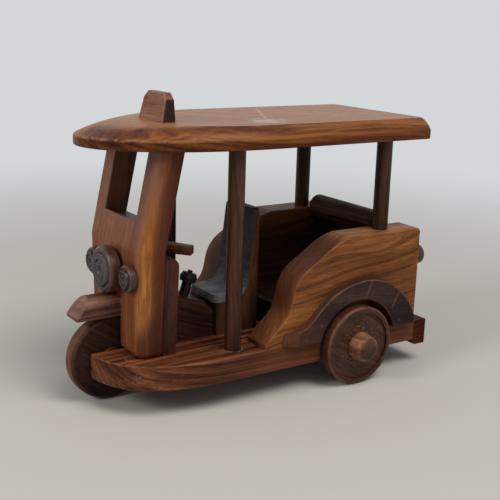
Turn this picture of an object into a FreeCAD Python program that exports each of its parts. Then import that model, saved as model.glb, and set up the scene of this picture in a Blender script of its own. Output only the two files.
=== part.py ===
import FreeCAD, Part
import math
import os
import Sketcher

# Carved wooden toy auto rickshaw, millimetres, +X forward, +Y its left side, +Z up.
# The origin lies on the floor, under the middle of the overall length and width.

SIZES = (
    # whole toy
    ("overall_length", 190.0, "front of the front wheel to the back of the rear bumper"),
    ("overrun", 2.0, "how far a cut runs past the face it opens"),
    # base board
    ("base_width", 84.0, "base board, side to side"),
    ("base_thickness", 12.0, "base board, underside to top"),
    ("base_clearance", 13.4, "floor to the underside of the base board"),
    ("base_nose_length", 58.0, "length over which the sides curve in to the nose"),
    ("base_nose_setback", 8.8, "front of the front wheel to the tip of the board"),
    ("base_round", 0.8, "worn edge along the top and underside"),
    # rear bumper bar
    ("bumper_depth", 9.9, "front to back"),
    ("bumper_height", 13.7, "top to bottom"),
    ("bumper_drop", 2.8, "how far it hangs below the base board"),
    ("bumper_round", 2.2, "worn edges of the bar"),
    # front wheel on its through axle
    ("front_wheel_width", 8.6, "across the tread"),
    ("front_axle_diameter", 4.0, "dowel through both prongs, flush with their sides"),
    ("front_hub_diameter", 11.0, "raised middle of the front wheel"),
    ("front_tread_round", 2.4, "rounded edges of its tread"),
    ("wheel_side_gap", 1.7, "side of the front wheel to the side of its slot"),
    ("wheel_slot_gap", 1.2, "back of the front wheel to the end of the slot"),
    ("hub_gap", 0.5, "hub of the front wheel to the side of the slot"),
    # rear wheels on headed pegs
    ("rear_wheel_width", 7.1, "across the tread"),
    ("rear_axle_setback", 53.4, "back of the bumper to the rear axle"),
    ("rear_wheel_gap", 0.7, "base board to the inner face of a rear wheel"),
    ("rim_width", 3.0, "raised ring at the edge of a rear wheel's face"),
    ("rim_recess", 1.1, "depth of the dished face inside that ring"),
    ("tread_round", 1.7, "rounded edges of a rear wheel's tread"),
    ("axle_gap", 0.1, "play all round between axle and wheel"),
    ("peg_diameter", 5.0, "shank of a rear wheel peg"),
    ("peg_depth", 20.0, "length of the shank inside the base board"),
    ("peg_head_diameter", 14.5, "knob in the middle of a rear wheel"),
    ("peg_head_reach", 7.2, "knob beyond the rim of its wheel"),
    ("peg_head_taper", 0.9, "how much the radius of the knob falls to its end"),
    ("peg_head_round", 3.4, "rounded end of the knob"),
    ("peg_head_gap", 0.3, "knob to the dished face"),
    # posts
    ("post_diameter", 8.0, "the four dowels that carry the roof"),
    ("middle_post_station", 24.3, "middle posts in front of the origin"),
    ("middle_post_inset", 9.6, "side of the base board to the centre of a middle post"),
    ("rear_post_setback", 21.5, "back of the base board to the rear posts"),
    ("rear_post_inset", 8.3, "side of the base board to the centre of a rear post"),
    ("cab_height", 96.6, "top of the base board to the underside of the roof"),
    # front panel, upright below its knee and leaning back above it
    ("slab_setback", 3.9, "front axle to the face of the panel"),
    ("slab_thickness", 12.0, "front to back"),
    ("slab_inset", 13.0, "side of the base board to the side of the panel"),
    ("slab_knee_height", 50.2, "knee above the base board"),
    ("slab_lean", 9.7, "how far the top stands behind the knee"),
    ("slab_front_round", 4.2, "rounded upright edges at the front"),
    ("slab_rear_round", 1.6, "rounded upright edges at the back"),
    ("slab_foot_round", 3.2, "rounded front and side edges of the foot"),
    ("slab_foot_taper", 3.0, "how much each side draws in from the knee to the foot"),
    ("windscreen_width", 32.0, "opening between the two uprights"),
    ("windscreen_sill", 64.7, "front edge of the sill above the base board"),
    ("windscreen_round", 0.6, "worn edges of the opening"),
    # dash board behind the front panel
    ("dash_wall", 1.3, "end of the wheel slot to the back of the dash board"),
    ("dash_drop", 2.6, "top of the dash board below the knee of the front panel"),
    ("dash_inset", 1.0, "side of the front panel to the side of the dash board"),
    # roof board with bevelled edges and a round nose
    ("roof_width", 84.0, "across the upright edge"),
    ("roof_thickness", 10.4, "underside to flat top"),
    ("roof_band", 4.5, "height of the upright edge below the bevel"),
    ("roof_side_bevel", 5.5, "upright edge to the flat top, on each side"),
    ("roof_rear_bevel", 2.0, "upright edge to the flat top, at the back"),
    ("roof_nose_setback", 6.8, "front of the front wheel to the tip of the roof"),
    ("roof_nose_length", 77.7, "length over which the sides curve in to the tip"),
    ("roof_nose_bevel", 26.0, "tip of the roof to the tip of its flat top"),
    ("roof_overhang", 3.3, "behind the base board"),
    ("roof_corner", 3.0, "rounded rear corners"),
    ("roof_round", 0.7, "worn lower edge"),
    ("roof_bevel_round", 1.2, "worn edge between the upright edge and the bevel"),
    # blank sign block on the roof
    ("sign_station", 53.0, "front of its foot in front of the origin"),
    ("sign_width", 23.5, "foot, side to side"),
    ("sign_depth", 7.6, "foot, front to back"),
    ("sign_height", 13.1, "foot to top"),
    ("sign_top_width", 21.4, "top, side to side, before its corners are clipped"),
    ("sign_top_depth", 4.2, "top, front to back"),
    ("sign_lean", 1.3, "how far the top stands back from over the middle of the foot"),
    ("sign_offset", 1.5, "middle of the block to the left of the roof's middle"),
    ("sign_clip", 3.0, "clipped top corners"),
    ("sign_round", 1.0, "worn edges"),
    # side panels of the passenger tub
    ("side_thickness", 16.0, "side to side"),
    ("side_height", 50.3, "above the base board"),
    ("side_toe_gap", 8.7, "toe of the curve to the middle post in front of it"),
    ("side_round", 1.0, "worn long edges"),
    ("side_corner", 2.4, "rounded rear top corner"),
    # fenders on the side panels
    ("fender_thickness", 4.0, "side to side"),
    ("fender_toe_gap", 9.4, "tip of the tail to the toe of the side panel"),
    ("fender_height", 27.8, "above the base board"),
    ("fender_setback", 3.3, "back of the side panel to the back of the fender"),
    ("fender_tail_slant", 7.5, "how far its tail is cut back on the outer face"),
    ("fender_round", 0.8, "worn outer edges"),
    ("arch_wall", 5.0, "wood of the side panel that is left inside the arch"),
    ("arch_gap", 4.3, "tread of the rear wheel to the arch, before the arch is set off"),
    ("arch_setback", 1.4, "centre of the arch behind the axle"),
    ("arch_drop", 1.9, "centre of the arch below the axle"),
    # lamps on the front panel
    ("lamp_gap", 0.2, "crown of the mudguard to the rim of the middle lamp"),
    ("lamp_diameter", 22.4, "middle lamp"),
    ("lamp_depth", 8.1, "middle lamp, panel to face"),
    ("side_lamp_drop", 0.4, "centre of a side lamp below that of the middle lamp"),
    ("side_lamp_diameter", 13.0, "side lamp"),
    ("side_lamp_depth", 4.8, "side lamp, panel to face"),
    ("side_lamp_gap", 0.6, "rim of the middle lamp to the rim of a side lamp"),
    ("lamp_step", 0.9, "raised middle of a lamp's face above its rim"),
    ("lamp_round", 1.9, "rounded rim of the middle lamp"),
    ("side_lamp_round", 1.1, "rounded rim of a side lamp or tail lamp"),
    # tail lamps on the back edges of the side panels
    ("tail_lamp_height", 34.5, "centre above the base board"),
    ("tail_lamp_diameter", 10.4, "tail lamp"),
    ("tail_lamp_depth", 5.2, "side panel to the face of the lamp"),
    ("tail_lamp_inset", 6.0, "side of the base board to the centre of a tail lamp"),
    # mudguard over the front wheel
    ("mudguard_width", 13.0, "side to side"),
    ("mudguard_height", 10.3, "flat underside to the crown"),
    ("mudguard_length", 22.1, "front panel to the toe of the front end"),
    ("mudguard_slope", 6.9, "how far the crown ends behind the toe"),
    ("mudguard_toe", 1.4, "upright part of the front end, below its slope"),
    ("mudguard_round", 1.2, "worn edges of the front end"),
    ("mudguard_gap", 0.8, "tread of the front wheel to the underside"),
    # driver's seat: brown block with a black pad on it
    ("seat_station", 21.5, "front of the block in front of the origin"),
    ("seat_depth", 24.1, "front to back"),
    ("seat_width", 25.2, "side to side"),
    ("seat_pan_height", 16.8, "front edge of the block above the base board"),
    ("seat_back_height", 62.8, "top of the block above the base board"),
    ("seat_back_foot", 7.0, "thickness of the back at the pan"),
    ("seat_back_top", 1.8, "thickness of the back at its top"),
    ("seat_cove", 9.0, "round inner corner between pan and back"),
    ("seat_round", 2.6, "rounded top corners of the back"),
    ("pad_pan_thickness", 4.0, "pad on the pan"),
    ("pad_back_thickness", 1.9, "pad on the back"),
    ("pad_nose", 1.0, "pad beyond the front of the block"),
    ("pad_round", 3.0, "rounded front corners of the pad"),
    # console between the seat and the dash board, and its lever
    ("console_width", 21.0, "side to side"),
    ("console_rear_height", 16.0, "above the base board at the back"),
    ("console_front_height", 25.6, "above the base board at the dash board"),
    ("console_corner", 5.0, "clipped top edge at the back"),
    ("console_round", 2.0, "rounded long edges"),
    ("lever_station", 33.2, "foot of the lever in front of the origin"),
    ("lever_neck_diameter", 5.0, "turned neck"),
    ("lever_neck_length", 6.8, "console to the underside of the knob"),
    ("lever_knob_diameter", 9.0, "turned knob"),
    ("lever_knob_height", 4.6, "underside to crown"),
    ("lever_tip_height", 1.2, "small nib on the crown"),
    # handlebar, flat, swept back
    ("handlebar_thickness", 4.5, "top to bottom"),
    ("handlebar_width", 6.4, "across an arm"),
    ("handlebar_inset", 0.5, "side of the front panel to the tip of an arm"),
    ("handlebar_sweep", 12.1, "tips behind the cross piece"),
    ("handlebar_root", 26.0, "width of the straight cross piece"),
    ("handlebar_gap", 0.8, "front panel to the cross piece"),
    ("handlebar_round", 0.9, "rounded edges"),
    # passenger bench, backrest and its roll
    ("bench_station", 9.8, "front of the bench behind the origin"),
    ("bench_height", 13.6, "above the base board"),
    ("bench_round", 2.0, "rounded front edge"),
    ("backrest_thickness", 7.0, "front to back"),
    ("backrest_setback", 11.8, "back of the base board to the back of the backrest"),
    ("roll_diameter", 13.0, "round bar along the top of the backrest"),
    ("roll_rise", 0.4, "centre of the roll above the side panels"),
)

# Outline of a side panel's front edge, from the end of its level top down to the toe:
# shares of the panel's length from its back edge, and of its height.
SIDE_CURVE_SHARES = (
    (0.488, 1.000), (0.591, 0.932), (0.695, 0.807), (0.794, 0.674),
    (0.840, 0.499), (0.861, 0.330), (0.918, 0.197), (1.000, 0.042),
)

# Outline of a fender's crown, from its back end to the top of its tail:
# shares of the fender's length and of its height.
FENDER_CURVE_SHARES = (
    (0.000, 0.000), (0.016, 0.210), (0.060, 0.430), (0.146, 0.701), (0.255, 0.903),
    (0.395, 1.000), (0.513, 0.968), (0.655, 0.817), (0.768, 0.547), (0.845, 0.335),
    (0.908, 0.259), (0.985, 0.222),
)

# How full a nose is: where the handles of its curve stand, as shares of its length
# and of its half width. The pair of the ellipse is 0.552 and 0.552.
ELLIPSE_SHARES = (0.552, 0.552)
BASE_NOSE_SHARES = (0.640, 0.760)

# Foot, crown and top of the roof's bevel: shares of its height, and of how far it reaches in.
ROOF_BEVEL_SHARES = ((0.00, 0.00), (0.60, 0.42), (1.00, 1.00))

# How far up the thickness of the base board the front and the rear axle run.
AXLE_LEVEL_SHARES = (0.6000, 0.5833)

# Rounded top edge of the dash board, of its thickness.
DASH_ROUND_SHARE = 0.68

# Turned face of a lamp, from its rim inward: shares of its radius, and of the step
# by which each place lies behind the raised middle.
LAMP_FACE_SHARES = (
    (1.00, 1.0), (0.76, 1.0), (0.72, 1.5), (0.67, 0.0), (0.47, 0.0), (0.43, 0.9),
    (0.38, 0.2), (0.22, 0.2), (0.15, 1.3), (0.00, 1.3),
)

# Foot of a lamp on the front panel: its radius as a share of the lamp's, and the share
# of the depth over which the lamp widens from there. The middle lamp stands on a stem.
LAMP_FOOT_SHARES = (0.50, 0.24)
SIDE_LAMP_FOOT_SHARES = (0.92, 0.12)

# Knob of the lever: radii of its underside and of its crown as shares of its own radius.
LEVER_KNOB_SHARES = (0.90, 0.75)


doc = FreeCAD.newDocument("toy_auto_rickshaw")
sheet = doc.addObject("Spreadsheet::Sheet", "Sizes")
for row, (alias, number, note) in enumerate(SIZES, start=1):
    sheet.set(f"A{row}", note)
    sheet.set(f"B{row}", str(number))
    sheet.setAlias(f"B{row}", alias)
doc.recompute()


class Size:
    """A length: its number now, and the sheet formula that gives it."""

    def __init__(self, number, formula):
        self.number = number
        self.formula = formula

    @staticmethod
    def of(other):
        return other if isinstance(other, Size) else Size(other, str(other))

    def __add__(self, other):
        other = Size.of(other)
        return Size(self.number + other.number, f"({self.formula} + {other.formula})")

    def __sub__(self, other):
        other = Size.of(other)
        return Size(self.number - other.number, f"({self.formula} - {other.formula})")

    def __mul__(self, other):
        other = Size.of(other)
        return Size(self.number * other.number, f"({self.formula} * {other.formula})")

    def __truediv__(self, other):
        other = Size.of(other)
        return Size(self.number / other.number, f"({self.formula} / {other.formula})")

    def __neg__(self):
        return Size(-self.number, f"(-{self.formula})")

    def slope(self, run):
        """Angle of a slope that rises by this length over the given run."""
        degrees = math.degrees(math.atan(self.number / run.number))
        return Size(degrees, f"atan({self.formula} / {run.formula})")


class Sizes:
    """Every cell of the sheet, by its alias."""

    def __getattr__(self, alias):
        return Size(float(getattr(sheet, alias)), f"{sheet.Name}.{alias}")


size = Sizes()
zero = Size(0.0, "0")

# Stations and levels that several pieces share
front_end = size.overall_length / 2
rear_end = -front_end
base_rear = rear_end + size.bumper_depth
base_tip = front_end - size.base_nose_setback
base_top = size.base_clearance + size.base_thickness
base_side = size.base_width / 2
front_radius = size.base_clearance + size.base_thickness * AXLE_LEVEL_SHARES[0]
rear_radius = size.base_clearance + size.base_thickness * AXLE_LEVEL_SHARES[1]
front_axle_x = front_end - front_radius
rear_axle_x = rear_end + size.rear_axle_setback
slot_side = size.front_wheel_width / 2 + size.wheel_side_gap
slot_end = front_axle_x - front_radius - size.wheel_slot_gap
slot_top = front_radius * 2 + size.mudguard_gap
slab_front = front_axle_x - size.slab_setback
slab_rear = slab_front - size.slab_thickness
slab_knee = base_top + size.slab_knee_height
slab_side = base_side - size.slab_inset
slab_foot_side = slab_side - size.slab_foot_taper
dash_rear = slot_end - size.dash_wall
dash_top = slab_knee - size.dash_drop
roof_bottom = base_top + size.cab_height
roof_top = roof_bottom + size.roof_thickness
arch_radius = rear_radius + size.arch_gap
side_top = base_top + size.side_height
side_inner = base_side - size.side_thickness
side_toe = size.middle_post_station - size.post_diameter / 2 - size.side_toe_gap
side_length = side_toe - base_rear
fender_rear = base_rear + size.fender_setback
fender_length = side_toe - size.fender_toe_gap - fender_rear
wheel_inner = base_side + size.rear_wheel_gap
wheel_outer = wheel_inner + size.rear_wheel_width
seat_rear = size.seat_station - size.seat_depth
backrest_rear = base_rear + size.backrest_setback
backrest_front = backrest_rear + size.backrest_thickness


def body_of(label):
    body = doc.addObject("PartDesign::Body", label)
    body.Label = label
    return body


def move(thing, x=zero, y=zero, z=zero):
    """Places a body or primitive, bound to the sheet."""
    for axis, where in zip("xyz", (x, y, z)):
        thing.setExpression(f"Placement.Base.{axis}", where.formula)


def sketch_of(body, plane, name, offset=zero):
    """A sketch on one of the body's own planes, moved along that plane's normal."""
    sketch = body.newObject("Sketcher::SketchObject", name)
    support = [part for part in body.Origin.OriginFeatures if part.Role == plane][0]
    sketch.AttachmentSupport = [(support, "")]
    sketch.MapMode = "FlatFace"
    sketch.setExpression("AttachmentOffset.Base.z", offset.formula)
    return sketch


def vector(point):
    return FreeCAD.Vector(point[0].number, point[1].number, 0)


def pin_down(sketch, index, end, point):
    """Binds one end of a sketch line to a place given by the sheet."""
    for kind, where in zip(("DistanceX", "DistanceY"), point):
        number = sketch.addConstraint(Sketcher.Constraint(kind, -1, 1, index, end, where.number))
        sketch.setExpression(f"Constraints[{number}]", where.formula)


def polygon(sketch, points):
    """Closed outline of straight lines, each corner bound to the sheet."""
    first = sketch.GeometryCount
    count = len(points)
    for here, there in zip(points, points[1:] + points[:1]):
        sketch.addGeometry(Part.LineSegment(vector(here), vector(there)), False)
    for step in range(count):
        joined = first + (step + 1) % count
        sketch.addConstraint(Sketcher.Constraint("Coincident", first + step, 2, joined, 1))
        pin_down(sketch, first + step, 1, points[step])


def rectangle(sketch, low, high):
    polygon(sketch, [low, (high[0], low[1]), high, (low[0], high[1])])


def circle(sketch, centre, diameter):
    index = sketch.addGeometry(
        Part.Circle(vector(centre), FreeCAD.Vector(0, 0, 1), diameter.number / 2), False)
    pin_down(sketch, index, 3, centre)
    number = sketch.addConstraint(Sketcher.Constraint("Diameter", index, diameter.number))
    sketch.setExpression(f"Constraints[{number}]", diameter.formula)


def run(sketch, points):
    """Open run of straight lines of a free outline."""
    for here, there in zip(points, points[1:]):
        sketch.addGeometry(Part.LineSegment(vector(here), vector(there)), False)


def smooth(sketch, points):
    """Smooth curve through the points of a free outline."""
    curve = Part.BSplineCurve()
    curve.interpolate([vector(point) for point in points])
    sketch.addGeometry(curve, False)


def dome(sketch, centre, radius):
    """Upper half of a circle."""
    whole = Part.Circle(vector(centre), FreeCAD.Vector(0, 0, 1), radius.number)
    sketch.addGeometry(Part.ArcOfCircle(whole, 0, math.pi), False)


def bow(sketch, poles):
    """Curve with one span and four poles."""
    curve = Part.BSplineCurve()
    curve.buildFromPolesMultsKnots([vector(pole) for pole in poles], [4, 4], [0, 1], False, 3)
    sketch.addGeometry(curve, False)


def pad(body, sketch, name, length, middle=False, backward=False):
    feature = body.newObject("PartDesign::Pad", name)
    feature.Profile = (sketch, [""])
    feature.setExpression("Length", length.formula)
    feature.SideType = "Symmetric" if middle else "One side"
    feature.Reversed = backward
    body.Tip = feature
    doc.recompute()
    return feature


def pocket(body, sketch, name, length, middle=False, backward=False):
    """Cuts, and stops the build if nothing was cut."""
    before = body.Shape.Volume
    feature = body.newObject("PartDesign::Pocket", name)
    feature.Profile = (sketch, [""])
    feature.setExpression("Length", length.formula)
    feature.SideType = "Symmetric" if middle else "One side"
    feature.Reversed = backward
    body.Tip = feature
    doc.recompute()
    if body.Shape.Volume >= before:
        raise RuntimeError(f"{name} of {body.Label} cuts nothing")
    return feature


def revolve(body, sketch, name, axis):
    feature = body.newObject("PartDesign::Revolution", name)
    feature.Profile = (sketch, [""])
    feature.ReferenceAxis = (sketch, [axis])
    feature.Angle = 360
    body.Tip = feature
    doc.recompute()
    return feature


def loft(body, first, others, name):
    """Smooth skin from one outline through the others."""
    feature = body.newObject("PartDesign::AdditiveLoft", name)
    feature.Profile = (first, [""])
    feature.Sections = [(other, [""]) for other in others]
    feature.Ruled = False
    body.Tip = feature
    doc.recompute()
    return feature


def edges_where(body, test):
    """Names of the edges of the body's latest feature that pass the test."""
    edges = enumerate(body.Tip.Shape.Edges, start=1)
    return [f"Edge{number}" for number, edge in edges if test(edge)]


def soften(body, kind, name, amount, test):
    """Fillet or chamfer of the edges that pass the test."""
    base = body.Tip
    names = edges_where(body, test)
    if not names:
        raise RuntimeError(f"{name} of {body.Label} finds no edge")
    feature = body.newObject(f"PartDesign::{kind}", name)
    feature.Base = (base, names)
    feature.setExpression("Radius" if kind == "Fillet" else "Size", amount.formula)
    body.Tip = feature
    doc.recompute()
    return feature


def near(number, other):
    return abs(number - other) < size.overrun.number / 100


def spans(edge, axis):
    """Length of the edge's box along one axis."""
    box = edge.BoundBox
    return {"x": box.XLength, "y": box.YLength, "z": box.ZLength}[axis]


def along(edge, axis):
    """True for a straight edge that runs along one axis."""
    others = [other for other in "xyz" if other != axis]
    return spans(edge, axis) > 0 and all(near(spans(edge, other), 0) for other in others)


def lies_at(axis, *levels):
    """Test for edges that lie flat at one of the levels along an axis."""
    def test(edge):
        box = edge.BoundBox
        low = {"x": box.XMin, "y": box.YMin, "z": box.ZMin}[axis]
        return near(spans(edge, axis), 0) and any(near(low, level.number) for level in levels)

    return test


def nose_outline(sketch, rear, tip, nose_length, half_width, shares, corner=zero):
    """Plan outline with a straight back, straight sides and a round nose."""
    start = tip - nose_length
    handle = start + nose_length * shares[0]
    inner = half_width - corner
    for side in (1, -1):
        edge = half_width * side
        bow(sketch, [(start, edge), (handle, edge), (tip, edge * shares[1]), (tip, zero)])
        run(sketch, [(start, edge), (rear + corner, edge)])
        if corner.number:
            quarter(sketch, (rear + corner, inner * side), corner, side)
    run(sketch, [(rear, inner), (rear, -inner)])


def quarter(sketch, centre, radius, side):
    """Rear corner of a plan outline, a quarter of a circle."""
    whole = Part.Circle(vector(centre), FreeCAD.Vector(0, 0, 1), radius.number)
    start = math.pi / 2 if side > 0 else math.pi
    sketch.addGeometry(Part.ArcOfCircle(whole, start, start + math.pi / 2), False)


def make_base_board():
    body = body_of("base_board")
    plan = sketch_of(body, "XY_Plane", "base_plan", size.base_clearance)
    nose_outline(plan, base_rear, base_tip, size.base_nose_length, base_side, BASE_NOSE_SHARES)
    pad(body, plan, "base_plank", size.base_thickness)
    soften(body, "Fillet", "base_worn_edges", size.base_round,
           lies_at("z", size.base_clearance, base_top))
    slot = sketch_of(body, "XY_Plane", "base_slot_plan", size.base_clearance - size.overrun)
    rectangle(slot, (slot_end, -slot_side), (base_tip + size.overrun, slot_side))
    slot_depth = size.base_thickness + size.overrun * 2
    pocket(body, slot, "base_slot", slot_depth, backward=True)
    bores = sketch_of(body, "XZ_Plane", "axle_bore_plan")
    circle(bores, (front_axle_x, front_radius), size.front_axle_diameter)
    pocket(body, bores, "front_axle_bore", size.base_width, middle=True)
    for side in (1, -1):
        name = "left" if side > 0 else "right"
        hole = sketch_of(body, "XZ_Plane", f"peg_bore_plan_{name}", (base_side + size.overrun) * -side)
        circle(hole, (rear_axle_x, rear_radius), size.peg_diameter)
        depth = size.peg_depth + size.overrun
        pocket(body, hole, f"peg_bore_{name}", depth, backward=side > 0)
    return body


def make_rear_bumper():
    body = body_of("rear_bumper")
    plan = sketch_of(body, "YZ_Plane", "bumper_face", rear_end)
    bottom = size.base_clearance - size.bumper_drop
    rectangle(plan, (-base_side, bottom), (base_side, bottom + size.bumper_height))
    pad(body, plan, "bumper_bar", size.bumper_depth)
    soften(body, "Fillet", "bumper_worn_edges", size.bumper_round, lies_at("x", rear_end))
    soften(body, "Fillet", "bumper_round_foot", size.bumper_round,
           lambda edge: along(edge, "y") and near(edge.BoundBox.XMin, base_rear.number)
           and near(edge.BoundBox.ZMin, bottom.number))
    return body


def make_front_axle():
    """Dowel whose ends follow the curved sides of the base board's nose."""
    body = body_of("front_axle")
    end = sketch_of(body, "XZ_Plane", "axle_end")
    circle(end, (front_axle_x, front_radius), size.front_axle_diameter)
    pad(body, end, "axle_dowel", size.base_width, middle=True)
    waste = sketch_of(body, "XY_Plane", "axle_end_waste", size.base_clearance)
    nose_outline(waste, base_rear, base_tip, size.base_nose_length, base_side, BASE_NOSE_SHARES)
    border = size.overrun * 2
    rectangle(waste, (base_rear - border, -base_side - border), (base_tip + border, base_side + border))
    pocket(body, waste, "axle_flush_ends", size.base_thickness, backward=True)
    return body


def make_front_wheel():
    """Disc turned about its axle, with a raised hub on both faces."""
    body = body_of("front_wheel")
    half = sketch_of(body, "XY_Plane", "wheel_half_section")
    bore = size.front_axle_diameter / 2 + size.axle_gap
    hub = size.front_hub_diameter / 2
    tread = front_radius
    face = size.front_wheel_width / 2
    hub_face = slot_side - size.hub_gap
    upper = [(bore, hub_face), (hub, hub_face), (hub, face), (tread, face)]
    lower = [(radius, -level) for radius, level in reversed(upper)]
    polygon(half, upper + lower)
    revolve(body, half, "wheel_turning", "V_Axis")
    soften(body, "Fillet", "wheel_round_tread", size.front_tread_round,
           lambda edge: near(edge.BoundBox.XLength, tread.number * 2))
    move(body, front_axle_x, zero, tread)
    return body


def make_rear_wheel(label, side):
    """Disc turned about its peg, dished on its outer face."""
    body = body_of(label)
    half = sketch_of(body, "XY_Plane", "wheel_half_section")
    bore = size.peg_diameter / 2 + size.axle_gap
    tread = rear_radius
    ring = tread - size.rim_width
    inner = wheel_inner * side
    outer = wheel_outer * side
    dish = (wheel_outer - size.rim_recess) * side
    polygon(half, [(bore, inner), (tread, inner), (tread, outer), (ring, outer), (ring, dish), (bore, dish)])
    revolve(body, half, "wheel_turning", "V_Axis")
    soften(body, "Fillet", "wheel_round_tread", size.tread_round,
           lambda edge: near(edge.BoundBox.XLength, tread.number * 2))
    move(body, rear_axle_x, zero, tread)
    return body


def make_wheel_peg(label, side):
    """Turned peg: its shank is glued into the base board, its knob holds the wheel."""
    body = body_of(label)
    half = sketch_of(body, "XY_Plane", "peg_half_section")
    shank = size.peg_diameter / 2
    knob = size.peg_head_diameter / 2
    end_radius = knob - size.peg_head_taper
    foot = (base_side - size.peg_depth) * side
    seat = (wheel_outer - size.rim_recess + size.peg_head_gap) * side
    end = (wheel_outer + size.peg_head_reach) * side
    polygon(half, [(zero, foot), (shank, foot), (shank, seat), (knob, seat), (end_radius, end), (zero, end)])
    revolve(body, half, "peg_turning", "V_Axis")
    soften(body, "Fillet", "peg_round_end", size.peg_head_round,
           lambda edge: near(edge.BoundBox.YMin, end.number) and near(edge.BoundBox.YMax, end.number))
    move(body, rear_axle_x, zero, rear_radius)
    return body


def make_front_panel():
    """Thick plank that narrows to its foot, with a windscreen opening and the wheel's slot."""
    body = body_of("front_panel")
    side_view = sketch_of(body, "XZ_Plane", "slab_side_view")
    polygon(side_view, [
        (slab_front, base_top), (slab_front, slab_knee), (slab_front - size.slab_lean, roof_bottom),
        (slab_rear - size.slab_lean, roof_bottom), (slab_rear, slab_knee), (slab_rear, base_top)])
    pad(body, side_view, "slab_plank", slab_side * 2, middle=True)
    behind = slab_rear - size.slab_lean - size.overrun
    through = size.slab_thickness + size.slab_lean + size.overrun * 2
    for word, side in (("left", 1), ("right", -1)):
        waste = sketch_of(body, "YZ_Plane", f"slab_taper_view_{word}", behind)
        outside = (slab_side + size.overrun) * side
        polygon(waste, [(slab_side * side, slab_knee), (slab_foot_side * side, base_top),
                        (outside, base_top), (outside, slab_knee)])
        pocket(body, waste, f"slab_taper_{word}", through, backward=True)

    middle = slab_front - size.slab_thickness / 2

    def is_upright(edge, at_front):
        """True for the upright edges of one face: they start at its foot or end behind its knee."""
        box = edge.BoundBox
        lean = size.slab_lean.number if near(box.ZMax, roof_bottom.number) else 0
        ahead = box.XMin + lean > middle.number
        return box.ZLength > size.slab_knee_height.number / 2 and ahead == at_front

    soften(body, "Fillet", "slab_round_front", size.slab_front_round, lambda edge: is_upright(edge, True))
    at_foot = lies_at("z", base_top)
    soften(body, "Fillet", "slab_round_foot", size.slab_foot_round,
           lambda edge: at_foot(edge) and edge.BoundBox.XMax > middle.number)
    soften(body, "Fillet", "slab_round_rear", size.slab_rear_round, lambda edge: is_upright(edge, False))
    opening = sketch_of(body, "XZ_Plane", "windscreen_view")
    sill = base_top + size.windscreen_sill
    fall = through * (size.slab_lean / (roof_bottom - slab_knee))
    ahead = slab_front + size.overrun
    level = roof_bottom + size.overrun
    polygon(opening, [(ahead, sill), (ahead, level), (behind, level), (behind, sill - fall)])
    pocket(body, opening, "windscreen", size.windscreen_width, middle=True)
    half_screen = size.windscreen_width / 2

    def is_screen_edge(edge):
        box = edge.BoundBox
        inside = max(-box.YMin, box.YMax) < half_screen.number + size.windscreen_round.number
        long = max(box.YLength, box.ZLength) > size.windscreen_width.number / 2
        return inside and long and box.ZMax > (sill - fall).number

    soften(body, "Fillet", "windscreen_worn_edges", size.windscreen_round, is_screen_edge)
    slot = sketch_of(body, "YZ_Plane", "slab_slot_view", slab_rear - size.overrun)
    rectangle(slot, (-slot_side, base_top - size.overrun), (slot_side, slot_top))
    pocket(body, slot, "slab_slot", size.slab_thickness + size.overrun * 2, backward=True)
    return body


def make_dash_board():
    body = body_of("dash_board")
    face = sketch_of(body, "YZ_Plane", "dash_face", dash_rear)
    half = slab_side - size.dash_inset
    foot = slab_foot_side - size.dash_inset
    polygon(face, [(-foot, base_top), (foot, base_top), (half, dash_top), (-half, dash_top)])
    thickness = slab_rear - dash_rear
    pad(body, face, "dash_plank", thickness)
    soften(body, "Fillet", "dash_round_top", thickness * DASH_ROUND_SHARE,
           lambda edge: along(edge, "y") and near(edge.BoundBox.ZMin, dash_top.number)
           and near(edge.BoundBox.XMin, dash_rear.number))
    slot = sketch_of(body, "YZ_Plane", "dash_slot_view", slot_end)
    rectangle(slot, (-slot_side, base_top - size.overrun), (slot_side, slot_top))
    pocket(body, slot, "dash_slot", thickness, backward=True)
    return body


def make_post(label, x, y, foot):
    """Dowel between its foot and the underside of the roof."""
    post = doc.addObject("Part::Cylinder", label)
    post.Label = label
    post.setExpression("Radius", (size.post_diameter / 2).formula)
    post.setExpression("Height", (roof_bottom - foot).formula)
    move(post, x, y, foot)
    return post


def make_roof_board():
    """Plank with an upright edge, then a crowned bevel all round that is longest at the nose."""
    body = body_of("roof_board")
    rear = base_rear - size.roof_overhang
    tip = front_end - size.roof_nose_setback
    half = size.roof_width / 2
    bevel_height = size.roof_thickness - size.roof_band

    def outline_at(name, level, reach):
        """Plan outline at a level of the bevel, drawn in by a share of the bevel's reach."""
        sketch = sketch_of(body, "XY_Plane", name, roof_bottom + level)
        nose_drawn_in = size.roof_nose_bevel * reach
        nose_outline(sketch, rear + size.roof_rear_bevel * reach, tip - nose_drawn_in,
                     size.roof_nose_length - nose_drawn_in, half - size.roof_side_bevel * reach,
                     ELLIPSE_SHARES, size.roof_corner)
        return sketch

    pad(body, outline_at("roof_plan", zero, zero), "roof_band_plank", size.roof_band)
    foot, crown, top = (
        outline_at(f"roof_bevel_{word}", size.roof_band + bevel_height * level_share, reach_share)
        for word, (level_share, reach_share) in zip(("foot", "crown", "top"), ROOF_BEVEL_SHARES))
    loft(body, foot, [crown, top], "roof_bevel")
    soften(body, "Fillet", "roof_worn_edge", size.roof_round, lies_at("z", roof_bottom))
    soften(body, "Fillet", "roof_worn_bevel", size.roof_bevel_round,
           lies_at("z", roof_bottom + size.roof_band))
    return body


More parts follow.
